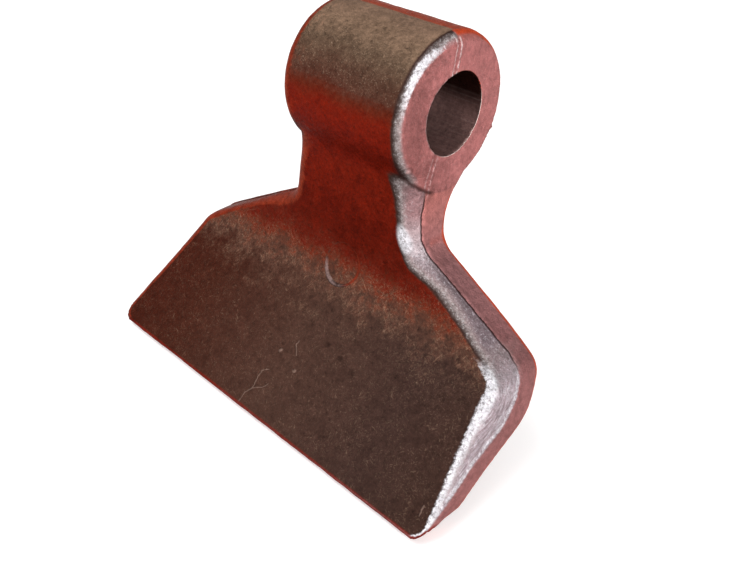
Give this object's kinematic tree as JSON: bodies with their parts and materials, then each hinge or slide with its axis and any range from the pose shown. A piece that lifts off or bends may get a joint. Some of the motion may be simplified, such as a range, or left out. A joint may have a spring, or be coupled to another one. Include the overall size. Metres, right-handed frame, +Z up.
{
  "type": "mulcher hammer blade",
  "caption": "Forged one-piece hammer blade for a mulching rotor: bored boss on top, neck below it and a wide foot that bends forward to a thin edge",
  "frame": {"origin": "centre of the pin bore, halfway along the boss", "axes": "+X along the bore and the blade's width, -Y out of the front face, +Z up from the cutting edge to the boss"},
  "size_m": [0.149, 0.0814, 0.1233],
  "materials": {
    "forged_steel": "as forged, dark scale with rust tint and bright worn edges"
  },
  "bodies": {
    "root": {"hammer_blade": "forged_steel"}
  },
  "joints": []
}
